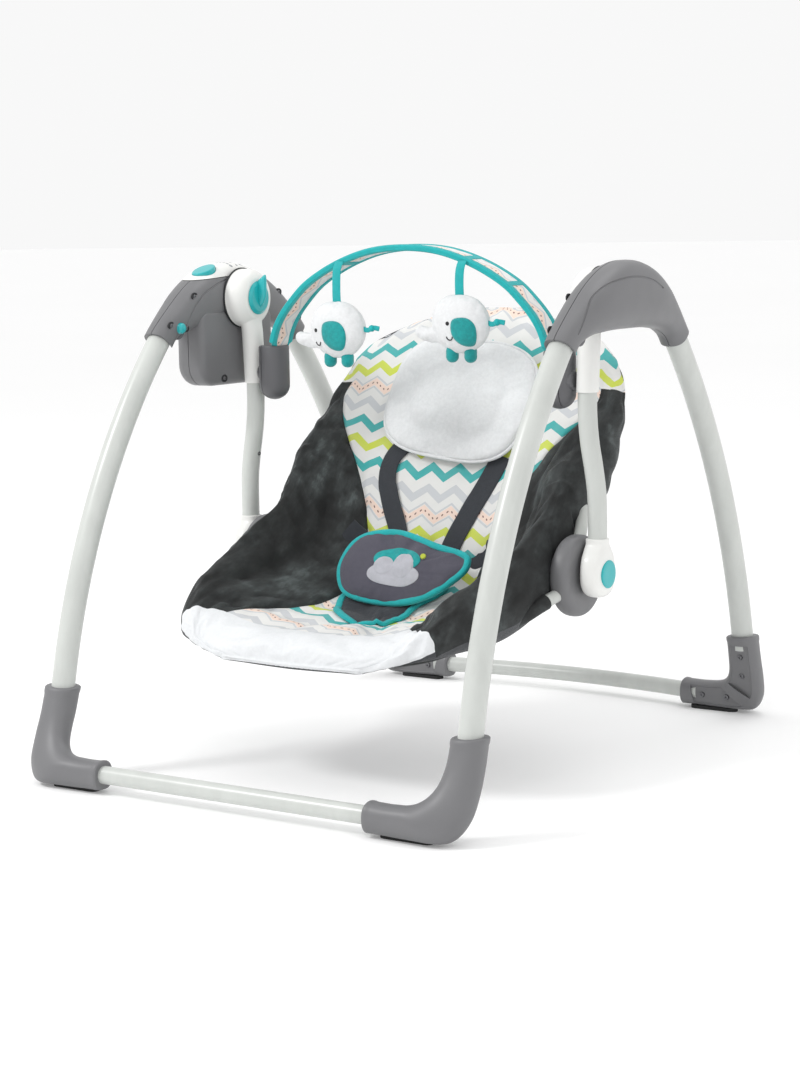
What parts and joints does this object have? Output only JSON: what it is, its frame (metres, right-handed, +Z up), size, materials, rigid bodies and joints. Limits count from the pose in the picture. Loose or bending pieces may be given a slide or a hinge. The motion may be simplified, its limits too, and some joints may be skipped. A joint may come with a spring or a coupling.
{
  "type": "baby swing",
  "caption": "Portable powered baby swing: folding tube frame, two hanger arms from side housings, padded reclining bucket seat with harness, and an arched toy bar with plush toys.",
  "frame": {"origin": "on the floor, in the middle between the feet, straight below the swing axis", "axes": "+Z up; the child faces -Y (front); +X is the side without the motor (to the right seen from the front)"},
  "size_m": [0.574, 0.7266, 0.56],
  "materials": {
    "painted_tube": "satin pale grey paint",
    "grey_plastic": "fine matt mid grey",
    "dark_plastic": "fine matt dark grey",
    "white_plastic": "satin off-white",
    "teal_plastic": "satin teal",
    "black_rubber": "matt",
    "bare_steel": "plain",
    "velour": "charcoal velour with a printed liner",
    "pale_cloth": "short white plush",
    "webbing": "woven charcoal webbing",
    "purple_cloth": "grey-purple woven cloth",
    "chevron_cloth": "printed cloth over a springy strip",
    "circuit_board": "green board",
    "cell_wrap": "printed cell wrap",
    "speaker_paper": "black paper cone in a frame"
  },
  "bodies": {
    "rear_frame": {"housing_inner_left": "grey_plastic", "housing_inner_right": "grey_plastic", "housing_outer_left": "grey_plastic", "housing_outer_right": "grey_plastic", "rear_leg_left": "painted_tube", "rear_leg_right": "painted_tube", "rear_foot_left": "grey_plastic", "rear_foot_right": "grey_plastic", "rear_pad_left": "black_rubber", "rear_pad_right": "black_rubber", "fold_pin_left": "bare_steel", "fold_pin_right": "bare_steel", "rear_cross_tube": "painted_tube", "control_panel": "white_plastic", "battery_door": "grey_plastic", "drive_motor": "bare_steel", "circuit_board": "circuit_board", "speaker": "speaker_paper", "battery_1": "cell_wrap", "battery_2": "cell_wrap", "battery_3": "cell_wrap", "battery_4": "cell_wrap"},
    "front_frame": {"leg_head_left": "dark_plastic", "leg_head_right": "dark_plastic", "front_leg_left": "painted_tube", "front_leg_right": "painted_tube", "front_foot_left": "grey_plastic", "front_foot_right": "grey_plastic", "front_pad_left": "black_rubber", "front_pad_right": "black_rubber", "front_cross_tube": "painted_tube"},
    "swing_arms": {"arm_hub_left": "white_plastic", "arm_hub_right": "white_plastic", "hanger_arm_left": "painted_tube", "hanger_arm_right": "painted_tube", "lower_hub_left": "white_plastic", "lower_hub_right": "white_plastic", "swing_shaft_left": "bare_steel", "swing_shaft_right": "bare_steel"},
    "seat": {"seat_hub_left": "grey_plastic", "seat_hub_right": "grey_plastic", "seat_tub": "velour", "seat_tube_front": "painted_tube", "seat_tube_back": "painted_tube", "head_pillow": "pale_cloth", "crotch_pad": "purple_cloth", "shoulder_strap_left": "webbing", "shoulder_strap_right": "webbing", "waist_belt": "webbing"},
    "toy_bar": {"toy_pod_left": "dark_plastic", "toy_pod_right": "dark_plastic", "toy_arch": "chevron_cloth"},
    "toy_left": {"elephant_toy_left": "pale_cloth"},
    "toy_right": {"elephant_toy_right": "pale_cloth"},
    "lock_knob": {"swing_lock_knob": "teal_plastic"},
    "leg_release_left": {"leg_release_left": "teal_plastic"},
    "leg_release_right": {"leg_release_right": "teal_plastic"},
    "recline_button_left": {"recline_button_left": "teal_plastic"},
    "recline_button_right": {"recline_button_right": "teal_plastic"},
    "power_button": {"power_button": "teal_plastic"}
  },
  "joints": [
    {"name": "front_leg_fold", "type": "hinge", "parent": "rear_frame", "child": "front_frame", "pos_m": [0, -0.107, 0.4715], "axis": [1, 0, 0], "range_deg": [0, 55]},
    {"name": "swing", "type": "hinge", "parent": "rear_frame", "child": "swing_arms", "pos_m": [0, 0, 0.502], "axis": [1, 0, 0], "range_deg": [-15, 15]},
    {"name": "seat_recline", "type": "hinge", "parent": "swing_arms", "child": "seat", "pos_m": [0, 0, 0.208], "axis": [1, 0, 0], "range_deg": [-15, 0]},
    {"name": "toy_bar_turn", "type": "hinge", "parent": "swing_arms", "child": "toy_bar", "pos_m": [0, -0.004, 0.417], "axis": [1, 0, 0], "range_deg": [-35, 70]},
    {"name": "toy_left_swing", "type": "hinge", "parent": "toy_bar", "child": "toy_left", "pos_m": [-0.08, -0.03, 0.5385], "axis": [1, 0, 0], "range_deg": [-20, 20]},
    {"name": "toy_right_swing", "type": "hinge", "parent": "toy_bar", "child": "toy_right", "pos_m": [0.08, -0.03, 0.5385], "axis": [1, 0, 0], "range_deg": [-20, 20]},
    {"name": "lock_knob_turn", "type": "hinge", "parent": "swing_arms", "child": "lock_knob", "pos_m": [-0.2, 0, 0.502], "axis": [1, 0, 0], "range_deg": [0, 90]},
    {"name": "leg_release_left_press", "type": "slide", "parent": "rear_frame", "child": "leg_release_left", "axis": [-1, 0, 0], "range_m": [0, 0.003], "stiffness_N_per_m": 600},
    {"name": "leg_release_right_press", "type": "slide", "parent": "rear_frame", "child": "leg_release_right", "axis": [1, 0, 0], "range_m": [0, 0.003], "stiffness_N_per_m": 600},
    {"name": "recline_button_left_press", "type": "slide", "parent": "swing_arms", "child": "recline_button_left", "axis": [1, 0, 0], "range_m": [0, 0.0025], "stiffness_N_per_m": 600},
    {"name": "recline_button_right_press", "type": "slide", "parent": "swing_arms", "child": "recline_button_right", "axis": [-1, 0, 0], "range_m": [0, 0.0025], "stiffness_N_per_m": 600},
    {"name": "power_button_press", "type": "slide", "parent": "rear_frame", "child": "power_button", "axis": [0, 0.342, -0.9397], "range_m": [0, 0.0015], "stiffness_N_per_m": 600}
  ]
}
